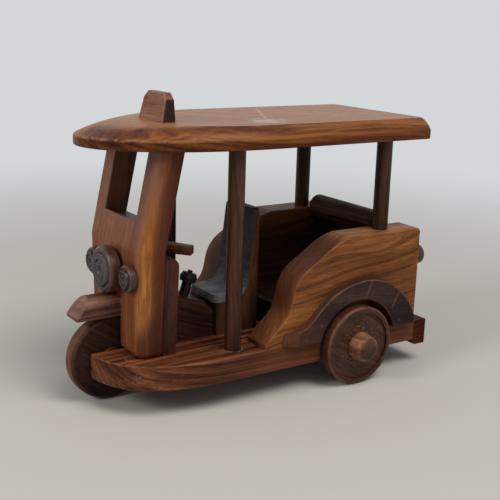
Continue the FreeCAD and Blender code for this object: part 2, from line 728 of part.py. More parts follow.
def make_roof_sign():
    """Blank block that leans back, thinner and narrower at its clipped top."""
    body = body_of("roof_sign")
    side_view = sketch_of(body, "XZ_Plane", "sign_side_view")
    front = size.sign_station
    rear = front - size.sign_depth
    inset = (size.sign_depth - size.sign_top_depth) / 2
    top = roof_top + size.sign_height
    polygon(side_view, [(rear, roof_top), (front, roof_top), (front - inset - size.sign_lean, top),
                        (rear + inset - size.sign_lean, top)])
    pad(body, side_view, "sign_wedge", size.sign_width, middle=True)
    half = size.sign_width / 2
    half_top = size.sign_top_width / 2
    waste = half + size.overrun
    for word, side in (("left", 1), ("right", -1)):
        front_view = sketch_of(body, "YZ_Plane", f"sign_waste_{word}", rear - size.overrun)
        clip_level = top - size.sign_clip
        polygon(front_view, [
            (half * side, roof_top), (half_top * side, clip_level),
            ((half_top - size.sign_clip) * side, top), (waste * side, top), (waste * side, roof_top)])
        pocket(body, front_view, f"sign_clip_{word}", size.sign_depth + size.overrun * 2, backward=True)
    foot = roof_top.number + size.sign_round.number
    soften(body, "Fillet", "sign_worn_edges", size.sign_round, lambda edge: edge.BoundBox.ZMax > foot)
    move(body, zero, size.sign_offset)
    return body


def make_side_panel(label, side):
    body = body_of(label)
    view = sketch_of(body, "XZ_Plane", "side_view", side_inner * -side)
    curve = [(base_rear + side_length * share_x, base_top + size.side_height * share_z)
             for share_x, share_z in SIDE_CURVE_SHARES]
    smooth(view, curve)
    run(view, [curve[-1], (side_toe, base_top), (base_rear, base_top), (base_rear, side_top), curve[0]])
    pad(body, view, "side_plank", size.side_thickness, backward=side > 0)
    soften(body, "Fillet", "side_round_corner", size.side_corner,
           lambda edge: along(edge, "y") and near(edge.BoundBox.XMin, base_rear.number)
           and near(edge.BoundBox.ZMin, side_top.number))
    foot = base_top.number + size.side_round.number
    soften(body, "Fillet", "side_worn_edges", size.side_round,
           lambda edge: near(edge.BoundBox.YLength, 0) and edge.BoundBox.ZMax > foot)
    arch = sketch_of(body, "XZ_Plane", "side_arch_view", (side_inner + size.arch_wall) * -side)
    circle(arch, (rear_axle_x - size.arch_setback, rear_radius - size.arch_drop), arch_radius * 2)
    depth = size.side_thickness - size.arch_wall + size.overrun
    pocket(body, arch, "side_arch", depth, backward=side < 0)
    return body


def make_fender(label, side):
    """Board over the wheel, its tail cut back at a slant."""
    body = body_of(label)
    view = sketch_of(body, "XZ_Plane", "fender_view", base_side * -side)
    curve = [(fender_rear + fender_length * share_x, base_top + size.fender_height * share_z)
             for share_x, share_z in FENDER_CURVE_SHARES]
    smooth(view, curve)
    run(view, [curve[-1], (fender_rear + fender_length, base_top), curve[0]])
    pad(body, view, "fender_board", size.fender_thickness, backward=side > 0)
    arch = sketch_of(body, "XZ_Plane", "fender_arch_view", (base_side - size.overrun) * -side)
    circle(arch, (rear_axle_x - size.arch_setback, rear_radius - size.arch_drop), arch_radius * 2)
    pocket(body, arch, "fender_arch", size.fender_thickness + size.overrun * 2, backward=side < 0)
    outer = (base_side + size.fender_thickness) * side
    tail = fender_rear + fender_length
    slant = sketch_of(body, "XY_Plane", "fender_tail_waste", base_top - size.overrun)
    polygon(slant, [(tail, base_side * side), (tail - size.fender_tail_slant, outer), (tail, outer)])
    pocket(body, slant, "fender_slanted_tail", size.fender_height + size.overrun * 2, backward=True)
    on_outer_face = lies_at("y", outer)
    soften(body, "Fillet", "fender_worn_edges", size.fender_round,
           lambda edge: on_outer_face(edge) and spans(edge, "x") > fender_length.number / 2)
    return body


def make_lamp(label, diameter, depth, rim_round, foot_shares, y, z):
    """Turned knob on the front panel: a rim, a groove and a raised middle with rings."""
    body = body_of(label)
    half = sketch_of(body, "XY_Plane", "lamp_half_section")
    radius = diameter / 2
    foot = [(zero, zero), (zero, radius * foot_shares[0]), (depth * foot_shares[1], radius)]
    face = [(depth - size.lamp_step * step, radius * share) for share, step in LAMP_FACE_SHARES]
    polygon(half, foot + face)
    revolve(body, half, "lamp_turning", "H_Axis")
    rim = 2 * radius.number
    soften(body, "Fillet", "lamp_round_rim", rim_round,
           lambda edge: near(spans(edge, "y"), rim) and edge.BoundBox.XMin > depth.number / 2)
    move(body, slab_front, y, z)
    return body


def make_tail_lamp(label, side):
    body = body_of(label)
    half = sketch_of(body, "XY_Plane", "tail_lamp_half_section")
    radius = size.tail_lamp_diameter / 2
    polygon(half, [(zero, zero), (-size.tail_lamp_depth, zero),
                   (-size.tail_lamp_depth, radius), (zero, radius)])
    revolve(body, half, "tail_lamp_turning", "H_Axis")
    soften(body, "Fillet", "tail_lamp_round_rim", size.side_lamp_round, lies_at("x", -size.tail_lamp_depth))
    move(body, base_rear, (base_side - size.tail_lamp_inset) * side, base_top + size.tail_lamp_height)
    return body


def make_mudguard():
    """Bar with a flat underside and a half-round back, its front end cut at a slope."""
    body = body_of("front_mudguard")
    section = sketch_of(body, "YZ_Plane", "mudguard_section", slab_front)
    half = size.mudguard_width / 2
    shoulder = slot_top + size.mudguard_height - half
    run(section, [(-half, shoulder), (-half, slot_top), (half, slot_top), (half, shoulder)])
    dome(section, (zero, shoulder), half)
    pad(body, section, "mudguard_bar", size.mudguard_length)
    end = slab_front + size.mudguard_length
    toe = slot_top + size.mudguard_toe
    crown = slot_top + size.mudguard_height
    above = crown + size.overrun
    crown_end = end - size.mudguard_slope
    waste = sketch_of(body, "XZ_Plane", "mudguard_waste")
    polygon(waste, [(end, toe), (crown_end, crown), (crown_end, above),
                    (end + size.overrun, above), (end + size.overrun, toe)])
    pocket(body, waste, "mudguard_sloped_end", size.mudguard_width + size.overrun, middle=True)
    soften(body, "Fillet", "mudguard_worn_end", size.mudguard_round,
           lambda edge: edge.BoundBox.XMin > crown_end.number - size.overrun.number / 100
           and edge.BoundBox.ZMax > slot_top.number + size.overrun.number / 100)
    return body


def seat_corner():
    """Foot and top of the sloped face of the seat's back."""
    foot = (seat_rear + size.seat_back_foot, base_top + size.seat_pan_height)
    top = (seat_rear + size.seat_back_top, base_top + size.seat_back_height)
    return foot, top


def make_seat_block():
    body = body_of("driver_seat_block")
    view = sketch_of(body, "XZ_Plane", "seat_block_view")
    foot, top = seat_corner()
    polygon(view, [
        (seat_rear, base_top), (size.seat_station, base_top), (size.seat_station, foot[1]),
        foot, top, (seat_rear, top[1])])
    pad(body, view, "seat_block_plank", size.seat_width, middle=True)
    soften(body, "Fillet", "seat_block_cove", size.seat_cove,
           lambda edge: along(edge, "y") and near(edge.BoundBox.XMin, foot[0].number)
           and near(edge.BoundBox.ZMin, foot[1].number))
    round_back(body, "seat_block_top_corners")
    return body


def round_back(body, name):
    """Rounds the top corners of the seat's back, seen from the front."""
    top = base_top + size.seat_back_height
    soften(body, "Fillet", name, size.seat_round,
           lambda edge: along(edge, "x") and near(edge.BoundBox.ZMin, top.number))


def make_seat_pad():
    """Pad that follows the pan and the back of the block."""
    body = body_of("driver_seat_pad")
    view = sketch_of(body, "XZ_Plane", "seat_pad_view")
    foot, top = seat_corner()
    nose = size.seat_station + size.pad_nose
    pan_top = foot[1] + size.pad_pan_thickness
    slope = (foot[0] - top[0]) / (top[1] - foot[1])
    back_foot = foot[0] + size.pad_back_thickness - slope * size.pad_pan_thickness
    polygon(view, [
        foot, (nose, foot[1]), (nose, pan_top), (back_foot, pan_top),
        (top[0] + size.pad_back_thickness, top[1]), top])
    pad(body, view, "seat_pad_sheet", size.seat_width, middle=True)
    soften(body, "Fillet", "seat_pad_cove", size.seat_cove,
           lambda edge: along(edge, "y") and near(edge.BoundBox.XMin, foot[0].number)
           and near(edge.BoundBox.ZMin, foot[1].number))
    soften(body, "Fillet", "seat_pad_inner_cove", size.seat_cove,
           lambda edge: along(edge, "y") and near(edge.BoundBox.XMin, back_foot.number)
           and near(edge.BoundBox.ZMin, pan_top.number))
    soften(body, "Fillet", "seat_pad_round_corners", size.pad_round,
           lambda edge: along(edge, "z") and near(edge.BoundBox.XMin, nose.number))
    round_back(body, "seat_pad_top_corners")
    return body


def make_console():
    """Block whose top falls towards the seat, with its rear top edge clipped."""
    body = body_of("console_block")
    view = sketch_of(body, "XZ_Plane", "console_view")
    rear = size.seat_station
    clip = rear + size.console_corner
    polygon(view, [
        (rear, base_top), (dash_rear, base_top), (dash_rear, console_top(dash_rear)),
        (clip, console_top(clip)), (rear, console_top(clip) - size.console_corner)])
    pad(body, view, "console_plank", size.console_width, middle=True)
    half = size.console_width.number / 2
    soften(body, "Fillet", "console_round_edges", size.console_round,
           lambda edge: near(abs(edge.BoundBox.YMin), half) and near(edge.BoundBox.YLength, 0)
           and edge.BoundBox.XLength > 0 and edge.BoundBox.ZLength > 0)
    return body


def console_rise():
    """Rise of the console's sloped top, and the run over which it rises."""
    return size.console_front_height - size.console_rear_height, dash_rear - size.seat_station


def console_top(x):
    """Level of the console's sloped top at one station."""
    rise, run_length = console_rise()
    return base_top + size.console_rear_height + (x - size.seat_station) * (rise / run_length)


def make_lever():
    """Turned peg with a mushroom knob and a small nib, square to the console's sloped top."""
    body = body_of("gear_lever")
    half = sketch_of(body, "XZ_Plane", "lever_half_section")
    neck = size.lever_neck_diameter / 2
    knob = size.lever_knob_diameter / 2
    under = size.lever_neck_length
    waist = under + size.lever_knob_height / 2
    crown = under + size.lever_knob_height
    nib = neck / 2
    tip = crown + size.lever_tip_height
    polygon(half, [
        (zero, zero), (neck, zero), (neck, under), (knob * LEVER_KNOB_SHARES[0], under), (knob, waist),
        (knob * LEVER_KNOB_SHARES[1], crown), (nib, crown), (nib, tip), (zero, tip)])
    revolve(body, half, "lever_turning", "V_Axis")
    rise, run_length = console_rise()
    lean = rise.slope(run_length)
    body.Placement.Rotation = FreeCAD.Rotation(FreeCAD.Vector(0, -1, 0), lean.number)
    body.setExpression("Placement.Rotation.Angle", lean.formula)
    move(body, size.lever_station, zero, console_top(size.lever_station))
    return body


def make_handlebar():
    """Flat bar on the dash board: a straight cross piece and two arms swept back."""
    body = body_of("handlebar")
    plan = sketch_of(body, "XY_Plane", "handlebar_plan", dash_top)
    front = slab_rear - size.handlebar_gap
    back = front - size.handlebar_width
    root = size.handlebar_root / 2
    tip = slab_side - size.handlebar_inset
    skew = size.handlebar_width / 2
    tail = front - size.handlebar_sweep
    polygon(plan, [
        (front, root), (tail, tip), (tail - skew, tip - skew), (back, root - skew),
        (back, -(root - skew)), (tail - skew, -(tip - skew)), (tail, -tip), (front, -root)])
    pad(body, plan, "handlebar_board", size.handlebar_thickness)
    soften(body, "Fillet", "handlebar_round_edges", size.handlebar_round,
           lies_at("z", dash_top, dash_top + size.handlebar_thickness))
    return body


def make_bench():
    body = body_of("bench_seat")
    view = sketch_of(body, "XZ_Plane", "bench_view")
    top = base_top + size.bench_height
    front = -size.bench_station
    rectangle(view, (backrest_front, base_top), (front, top))
    pad(body, view, "bench_block", side_inner * 2, middle=True)
    soften(body, "Fillet", "bench_round_edge", size.bench_round,
           lambda edge: along(edge, "y") and near(edge.BoundBox.ZMin, top.number)
           and near(edge.BoundBox.XMin, front.number))
    return body


def make_backrest():
    """Upright board whose top is hollowed to carry the roll."""
    body = body_of("backrest_panel")
    view = sketch_of(body, "XZ_Plane", "backrest_view")
    centre = side_top + size.roll_rise
    rectangle(view, (backrest_rear, base_top), (backrest_front, centre))
    pad(body, view, "backrest_board", side_inner * 2, middle=True)
    hollow = sketch_of(body, "XZ_Plane", "backrest_hollow_view")
    circle(hollow, (roll_station(), centre), size.roll_diameter)
    pocket(body, hollow, "backrest_hollow", side_inner * 2 + size.overrun, middle=True)
    return body


def roll_station():
    return (backrest_front + backrest_rear) / 2


def make_roll():
    body = body_of("backrest_roll")
    end = sketch_of(body, "XZ_Plane", "roll_end")
    circle(end, (zero, zero), size.roll_diameter)
    pad(body, end, "roll_bar", side_inner * 2, middle=True)
    move(body, roll_station(), zero, side_top + size.roll_rise)
    return body


def make_all():
    nodes = [
        make_base_board(), make_rear_bumper(), make_front_axle(), make_front_wheel(),
        make_front_panel(), make_dash_board(), make_roof_board(), make_roof_sign(),
        make_mudguard(), make_seat_block(), make_seat_pad(), make_console(), make_lever(),
        make_handlebar(), make_bench(), make_backrest(), make_roll()]
    lamp_z = slot_top + size.mudguard_height + size.lamp_gap + size.lamp_diameter / 2
    side_lamp_y = (size.lamp_diameter + size.side_lamp_diameter) / 2 + size.side_lamp_gap
    nodes.append(make_lamp("headlamp_center", size.lamp_diameter, size.lamp_depth, size.lamp_round,
                           LAMP_FOOT_SHARES, zero, lamp_z))
    rear_post_x = base_rear + size.rear_post_setback
    for word, side in (("left", 1), ("right", -1)):
        nodes.append(make_rear_wheel(f"rear_wheel_{word}", side))
        nodes.append(make_wheel_peg(f"wheel_peg_{word}", side))
        nodes.append(make_side_panel(f"side_panel_{word}", side))
        nodes.append(make_fender(f"fender_{word}", side))
        nodes.append(make_tail_lamp(f"tail_lamp_{word}", side))
        nodes.append(make_lamp(f"headlamp_{word}", size.side_lamp_diameter, size.side_lamp_depth,
                               size.side_lamp_round, SIDE_LAMP_FOOT_SHARES,
                               side_lamp_y * side, lamp_z - size.side_lamp_drop))
        nodes.append(make_post(f"post_middle_{word}", size.middle_post_station,
                               (base_side - size.middle_post_inset) * side, base_top))
        nodes.append(make_post(f"post_rear_{word}", rear_post_x,
                               (base_side - size.rear_post_inset) * side, side_top))
    return nodes


def check_and_write(nodes):
    doc.recompute()
    failed = [part.Name for part in doc.Objects if "Invalid" in part.State or "Error" in part.State]
    if failed:
        raise RuntimeError(f"failed objects: {failed}")
    os.makedirs("parts", exist_ok=True)
    for node in nodes:
        shape = node.Shape
        if shape.isNull() or not shape.isValid() or len(shape.Solids) != 1:
            raise RuntimeError(f"{node.Label} is not one valid solid")
    for node in nodes:
        node.Shape.exportStep(os.path.join("parts", f"{node.Label}.step"))
        box = node.Shape.BoundBox
        print(f"{node.Label}: x {box.XMin:.1f} {box.XMax:.1f}, y {box.YMin:.1f} {box.YMax:.1f}, "
              f"z {box.ZMin:.1f} {box.ZMax:.1f}")


check_and_write(make_all())
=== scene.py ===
import bpy
import math
from mathutils import Matrix, Vector

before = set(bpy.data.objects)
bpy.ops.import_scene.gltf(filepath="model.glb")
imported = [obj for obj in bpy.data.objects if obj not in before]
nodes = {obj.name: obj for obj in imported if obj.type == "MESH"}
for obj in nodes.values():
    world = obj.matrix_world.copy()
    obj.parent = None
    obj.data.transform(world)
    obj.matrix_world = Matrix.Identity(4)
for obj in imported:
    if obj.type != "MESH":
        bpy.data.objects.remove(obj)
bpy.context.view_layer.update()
scene = bpy.context.scene
scene.view_settings.view_transform = "Standard"

MM_PER_METRE = 1000.0

# Camera: its place in metres, its angles in radians, its lens and sensor in millimetres
EYE = (0.24673, 0.37494, 0.18021)
YAW, PITCH, ROLL = -2.16381, -0.25310, 0.02980
LENS = 65.12
SENSOR_WIDTH = 36.0
NEAREST, FARTHEST = 0.01, 20.0

# Studio, in linear colours and metres
BACKGROUND = (0.66, 0.685, 0.705)
SOFT_LIGHT, SOFT_STRENGTH = (0.90, 0.95, 1.0), 0.36
FLOOR_COLOUR = (0.575, 0.538, 0.492)
FLOOR_HALF_WIDTH = 6.0
FADE_START, FADE_END = 160.0, 750.0  # millimetres from the origin, where the floor fades into it

# Places on the solids, in millimetres: x forward, y to the left, z up
BASE_TOP = 25.4
POST_FOOT = (24.3, 32.4, BASE_TOP)  # left middle post
FENDER_SIDE = 46.0  # y of the left fender's outer face
ROOF_TOP = 132.4
ROOF_ARRIS = 126.6  # z where the upright edge of the roof meets its bevel
KNEE = 75.6  # z above which the front panel leans back
LEAN = 0.209  # how far it leans back, for each millimetre of height
SILL = 75.1  # z less LEAN times x, just above the sloping sill of the windscreen
SCREEN_SIDE = 16.0  # y of the opening's left side
TUB_INSIDE = 26.0  # y of the left side panel's inner face
WHEEL_X, WHEEL_Z = -41.6, 20.4  # axis of the rear wheels
MIDDLE_LAMP_FACE, SIDE_LAMP_FACE, TAIL_LAMP_FACE = 78.6, 75.3, -90.3  # x of the outer faces

# Places of the marks, in millimetres
FENDER_SCRATCHES = (((-50.6, 53.2), (-46.2, 43.8)), ((-69.4, 44.6), (-64.8, 36.0)))  # x and z of both ends
PIN_HEADS = ((-70.5, 28.5), (-19.0, 33.5), (-9.5, 28.0))  # x and z
GLUE_SPOTS = (((73.5, 21.5, BASE_TOP), 3.2), ((74.4, 32.5, 19.0), 4.0))  # centre and radius
ROOF_SCRATCH = ((-26.5, -28.5, ROOF_TOP), (-3.0, 15.0, ROOF_TOP))
ROOF_SMEAR = ((-4.0, 14.0, ROOF_TOP), (5.0, 29.0, ROOF_TOP))

# Colours of the marks and of painted light and shade, as linear red, green and blue
SCRATCH_BROWN = (0.17, 0.075, 0.042)
PIN_GREY = (0.22, 0.19, 0.17)
FENDER_RED = (0.085, 0.029, 0.016)
BASE_ORANGE = (0.185, 0.062, 0.024)
STREAK_ORANGE = (0.30, 0.092, 0.030)
STREAK_BLACK = (0.030, 0.008, 0.004)
GLUE_GREY = (0.26, 0.20, 0.17)
GLUE_BEIGE = (0.30, 0.22, 0.18)
# painted sheen of the roof's flat top
ROOF_TOP_SHEEN = (0.46, 0.235, 0.125)
SCRATCH_PALE = (0.60, 0.47, 0.39)
SMEAR_PALE = (0.56, 0.47, 0.42)
ROOF_GOLD = (0.34, 0.135, 0.024)
ROOF_WORN = (0.44, 0.24, 0.15)
SLAB_RED = (0.135, 0.042, 0.021)
# painted sheen of the front panel's face
SLAB_FRONT_SHEEN = (0.23, 0.105, 0.070)
SLAB_DARK_RED = (0.078, 0.020, 0.011)
SLAB_ORANGE = (0.30, 0.100, 0.016)
SLAB_GOLD = (0.52, 0.24, 0.048)
# painted shade at the front panel's foot
SLAB_FOOT_SHADE = (0.070, 0.015, 0.009)
SLAB_STAIN = (0.085, 0.026, 0.016)
PANEL_RED = (0.105, 0.030, 0.014)
PANEL_DARK = (0.034, 0.013, 0.010)
# painted light and wear on the seat pan
PAD_PAN_LIGHT_AND_WEAR = (0.20, 0.205, 0.215)
PAD_DARK = (0.020, 0.016, 0.014)
LAMP_RED = (0.080, 0.026, 0.016)
TREAD_BROWN = (0.155, 0.066, 0.036)
HUB_GOLD = (0.28, 0.135, 0.060)
TREAD_RED = (0.060, 0.017, 0.010)


# Short ways to build shader nodes

class Tree:
    """The nodes of one material, for an object that sits at the origin.

    place is the spot on the surface in millimetres, xyz its three parts, and normal the three
    parts of the direction that the surface faces."""

    def __init__(self, name):
        self.material = bpy.data.materials.new(name)
        self.material.use_nodes = True
        self.nodes = self.material.node_tree.nodes
        self.links = self.material.node_tree.links
        self.shader = self.nodes["Principled BSDF"]
        coordinates = self.add("TexCoord")
        self.place = self.times(coordinates.outputs["Object"], MM_PER_METRE)
        self.xyz = tuple(self.separate(self.place))
        self.normal = tuple(self.separate(coordinates.outputs["Normal"]))

    def add(self, kind, inputs=None, **settings):
        """A new node with the given settings. Its inputs are plain values or sockets to link."""
        made = self.nodes.new("ShaderNode" + kind)
        for key, value in settings.items():
            setattr(made, key, value)
        for key, value in (inputs or {}).items():
            self.feed(made.inputs[key], value)
        return made

    def feed(self, socket, value):
        if isinstance(value, bpy.types.NodeSocket):
            self.links.new(value, socket)
        else:
            socket.default_value = value

    # Numbers

    def math(self, operation, first, second=0.0):
        return self.add("Math", {0: first, 1: second}, operation=operation).outputs[0]

    def plus(self, first, second):
        return self.math("ADD", first, second)

    def less(self, first, second):
        return self.math("SUBTRACT", first, second)

    def product(self, *factors):
        total = factors[0]
        for factor in factors[1:]:
            total = self.math("MULTIPLY", total, factor)
        return total

    def absolute(self, value):
        return self.math("ABSOLUTE", value)

    def apart(self, value, level):
        """How far a value is from a level, on either side."""
        return self.absolute(self.less(value, level))

    def root_of_squares(self, first, second):
        return self.math("SQRT", self.plus(self.product(first, first), self.product(second, second)))

    def span(self, value, low, high, to_low=0.0, to_high=1.0):
        """Smooth step from one level to another, also downwards where low is above high."""
        made = self.add("MapRange", {"Value": value, "From Min": low, "From Max": high,
                                     "To Min": to_low, "To Max": to_high})
        made.interpolation_type = "SMOOTHSTEP"
        return made.outputs["Result"]

    # Vectors

    def combine(self, x, y, z):
        return self.add("CombineXYZ", {0: x, 1: y, 2: z}).outputs[0]

    def separate(self, vector):
        return self.add("SeparateXYZ", {0: vector}).outputs

    def times(self, vector, factor):
        """The vector times a number, or times one number for each axis."""
        factors = factor if isinstance(factor, tuple) else (factor,) * 3
        return self.add("VectorMath", {0: vector, 1: factors}, operation="MULTIPLY").outputs["Vector"]

    def minus(self, vector, other):
        return self.add("VectorMath", {0: vector, 1: tuple(other)}, operation="SUBTRACT").outputs["Vector"]

    def length(self, vector):
        return self.add("VectorMath", {0: vector}, operation="LENGTH").outputs["Value"]

    def dot(self, vector, other):
        return self.add("VectorMath", {0: vector, 1: other}, operation="DOT_PRODUCT").outputs["Value"]

    # Noise

    def noise(self, where, detail, rough=0.5):
        made = self.add("TexNoise", {"Vector": where, "Scale": 1.0, "Detail": detail, "Roughness": rough})
        return made.outputs["Fac"]

    def mottle(self, scale, detail=2.0, rough=0.5):
        """Noise over the surface. Its scale is per millimetre, one for all axes or one for each."""
        return self.noise(self.times(self.place, scale), detail, rough)

    # Colours

    def mix(self, factor, first, second, blend="MIX"):
        made = self.add("Mix", data_type="RGBA", blend_type=blend)
        self.feed(made.inputs["Factor"], factor)
        for socket, value in ((made.inputs[6], first), (made.inputs[7], second)):
            self.feed(socket, value if isinstance(value, bpy.types.NodeSocket) else (*value, 1.0))
        return made.outputs[2]

    def paint(self, colour, other, *masks, strength=1.0):
        """The colour with another laid over it where all the masks are 1, at the given strength."""
        return self.mix(self.product(*masks, strength), colour, other)

    def shade(self, colour, level):
        """The colour made lighter or darker by a level about 1."""
        return self.mix(1.0, colour, self.combine(level, level, level), "MULTIPLY")

    def darken(self, colour, amount):
        """The colour darkened by an amount from 0 to 1, where 1 is black."""
        return self.shade(colour, self.less(1.0, amount))

    def ramp(self, factor, stops):
        """Blend of colours along a factor, from pairs of place and colour."""
        made = self.add("ValToRGB", {"Fac": factor})
        band = made.color_ramp
        while len(band.elements) < len(stops):
            band.elements.new(0.5)
        for element, (place, colour) in zip(band.elements, stops):
            element.position = place
            element.color = (*colour, 1.0)
        return made.outputs["Color"]


# Camera, lights and floor

def make_camera():
    """Camera at the photograph's place and angle."""
    ahead = Vector((math.cos(PITCH) * math.cos(YAW), math.cos(PITCH) * math.sin(YAW), math.sin(PITCH)))
    right = ahead.cross(Vector((0, 0, 1))).normalized()
    up = right.cross(ahead)
    turned_right = right * math.cos(ROLL) + up * math.sin(ROLL)
    turned_up = up * math.cos(ROLL) - right * math.sin(ROLL)
    data = bpy.data.cameras.new("camera")
    data.sensor_width = SENSOR_WIDTH
    data.lens = LENS
    data.clip_start = NEAREST
    data.clip_end = FARTHEST
    camera = bpy.data.objects.new("camera", data)
    turn = Matrix((turned_right, turned_up, -ahead)).transposed().to_4x4()
    camera.matrix_world = Matrix.Translation(Vector(EYE)) @ turn
    scene.collection.objects.link(camera)
    scene.camera = camera


def area_light(name, place, target, size, power, colour):
    """Soft round lamp that faces its target."""
    data = bpy.data.lights.new(name, "AREA")
    data.shape = "DISK"
    data.size = size
    data.energy = power
    data.color = colour
    light = bpy.data.objects.new(name, data)
    place, target = Vector(place), Vector(target)
    light.rotation_euler = (target - place).to_track_quat("-Z", "Y").to_euler()
    light.location = place
    scene.collection.objects.link(light)


def seen_directly(tree_nodes, links):
    """1 for rays that show the surroundings: from the camera, in gloss and through glass."""
    path = tree_nodes.new("ShaderNodeLightPath")
    total = path.outputs["Is Camera Ray"]
    for kind in ("Is Glossy Ray", "Is Transmission Ray"):
        either = tree_nodes.new("ShaderNodeMath")
        either.operation = "MAXIMUM"
        links.new(total, either.inputs[0])
        links.new(path.outputs[kind], either.inputs[1])
        total = either.outputs[0]
    return total


def make_lights():
    """Two soft lamps, and a world that lights weakly and shows the plain background."""
    area_light("key_above", place=(-0.15, 0.65, 1.2), target=(0, 0, 0.06), size=0.8, power=10.0,
               colour=(1.0, 0.985, 0.96))
    area_light("key_front", place=(1.15, 0.05, 0.75), target=(0, 0, 0.07), size=0.45, power=6.0,
               colour=(1.0, 0.97, 0.94))
    world = bpy.data.worlds.new("studio")
    world.use_nodes = True
    scene.world = world
    tree = world.node_tree
    tree.nodes.clear()
    out = tree.nodes.new("ShaderNodeOutputWorld")
    soft = tree.nodes.new("ShaderNodeBackground")
    soft.inputs["Color"].default_value = (*SOFT_LIGHT, 1.0)
    soft.inputs["Strength"].default_value = SOFT_STRENGTH
    seen = tree.nodes.new("ShaderNodeBackground")
    seen.inputs["Color"].default_value = (*BACKGROUND, 1.0)
    seen.inputs["Strength"].default_value = 1.0
    either = tree.nodes.new("ShaderNodeMixShader")
    tree.links.new(seen_directly(tree.nodes, tree.links), either.inputs[0])
    tree.links.new(soft.outputs[0], either.inputs[1])
    tree.links.new(seen.outputs[0], either.inputs[2])
    tree.links.new(either.outputs[0], out.inputs["Surface"])


def make_floor():
    """Pale floor that keeps the shadow near the object and fades into the background."""
    half = FLOOR_HALF_WIDTH
    mesh = bpy.data.meshes.new("floor")
    mesh.from_pydata([(-half, -half, 0), (half, -half, 0), (half, half, 0), (-half, half, 0)], [],
                     [(0, 1, 2, 3)])
    floor = bpy.data.objects.new("floor", mesh)
    scene.collection.objects.link(floor)
    tree = Tree("floor_pale")
    tree.shader.inputs["Base Color"].default_value = (*FLOOR_COLOUR, 1.0)
    tree.shader.inputs["Roughness"].default_value = 0.9
    tree.shader.inputs["Specular IOR Level"].default_value = 0.0
    glow = tree.add("Emission", {"Color": (*BACKGROUND, 1.0), "Strength": 1.0})
    far = tree.product(tree.span(tree.length(tree.place), FADE_START, FADE_END),
                       seen_directly(tree.nodes, tree.links))
    either = tree.add("MixShader", {0: far, 1: tree.shader.outputs[0], 2: glow.outputs[0]})
    tree.links.new(either.outputs[0], tree.nodes["Material Output"].inputs["Surface"])
    mesh.materials.append(tree.material)


# Wood

# Which of x, y and z runs along the grain, across it, and through its thin layers
AXES = {"X": (0, 1, 2), "Y": (1, 0, 2), "Z": (2, 0, 1)}

# Noise of each layer of grain: its scales per millimetre in those three directions, and its detail
GRAIN = {
    "bands": ((0.005, 0.03, 0.10), 2.0),
    "streaks": ((0.010, 0.10, 0.55), 2.0),
    "lines": ((0.008, 0.06, 0.9), 0.0),
    "fibres": ((0.05, 1.2, 1.8), 2.0),
    "pores": ((0.13, 1.9, 1.9), 0.0),
}
BEND_SCALES = (0.009, 0.03, 0.03)  # the slow noise that bends the grain
SEED_STEP = (37.0, 53.0, 71.0)  # how far the grain shifts for each 1 of seed, in millimetres
TONE_SWING = 2.4  # how far bands and streaks move the tone from the middle colour
PORE_LEVEL = 0.3  # growth lines and pores, as a share of the dark colour
FIBRE_SWING = 0.22  # how much fibres lighten and darken
COAT_ROUGHNESS = 0.3

# How a plank looks where its own line says nothing else
LOOK = {
    "warp": 2.5, "bands": 1.0, "streaks": 1.0, "pores": 0.45, "lines": 0.35, "end_dark": 0.45,
    "rough": 0.42, "gloss": 0.12, "coat": 0.0, "wear": None,
    # specks: pale flecks, partly in the grain and partly painted glints of the oiled finish
    "specks": 0.0, "speck_colour": (0.20, 0.15, 0.12),
}


def stretch(tree, directions, scales):
    """A place in the noise, with each direction scaled by its own number."""
    return tree.combine(*(tree.product(part, scale) for part, scale in zip(directions, scales)))


def grain_layers(tree, axis, tilt, seed, warp):
    """The layers of a plank's grain: turned by the tilt in degrees, stretched along one axis
    and bent by up to the warp in millimetres."""
    offset = tuple(seed * step for step in SEED_STEP)
    turn = tuple(math.radians(angle) for angle in tilt)
    turned = tree.add("Mapping", {"Vector": tree.place, "Rotation": turn, "Location": offset})
    parts = tree.separate(turned.outputs[0])
    along, wide, thin = (parts[index] for index in AXES[axis])
    slow = tree.add("TexNoise", {"Vector": stretch(tree, (along, wide, thin), BEND_SCALES),
                                 "Scale": 1.0, "Detail": 1.0})
    bend = tree.separate(slow.outputs["Color"])
    bent = (along,
            tree.plus(wide, tree.span(bend[0], 0.2, 0.8, -warp, warp)),
            tree.plus(thin, tree.span(bend[1], 0.2, 0.8, -warp, warp)))
    layers = {layer: tree.noise(stretch(tree, bent, scales), detail)
              for layer, (scales, detail) in GRAIN.items()}
    layers["lines"] = tree.span(layers["lines"], 0.60, 0.70)
    layers["pores"] = tree.span(layers["pores"], 0.62, 0.72)
    return layers


def grain_colour(tree, layers, look, dark, mid, light):
    """Bands and streaks between three colours, with dark lines and pores and fine fibres."""
    tone = 0.5
    for layer in ("bands", "streaks"):
        swing = tree.product(tree.less(layers[layer], 0.5), TONE_SWING * look[layer])
        tone = tree.plus(tone, swing)
    colour = tree.ramp(tone, [(0.08, dark), (0.5, mid), (0.92, light)])
    deep = tuple(level * PORE_LEVEL for level in dark)
    for layer in ("lines", "pores"):
        colour = tree.paint(colour, deep, layers[layer], strength=look[layer])
    return tree.shade(colour, tree.span(layers["fibres"], 0.25, 0.75, 1.0 - FIBRE_SWING, 1.0 + FIBRE_SWING))


def wear_arrises(tree, colour, look):
    """Patchy wear on the rounded edges of the faces that look along the named axes."""
    patches = tree.span(tree.mottle(0.16, detail=3.0), 0.36, 0.62, 0.3, 1.0)
    for letter in look["wear_axes"]:
        part = tree.absolute(tree.normal[AXES[letter][0]])
        arris = tree.product(tree.span(part, 0.15, 0.45), tree.span(part, 0.985, 0.88), patches)
        colour = tree.paint(colour, look["wear"], arris, strength=look["wear_amount"])
    return colour


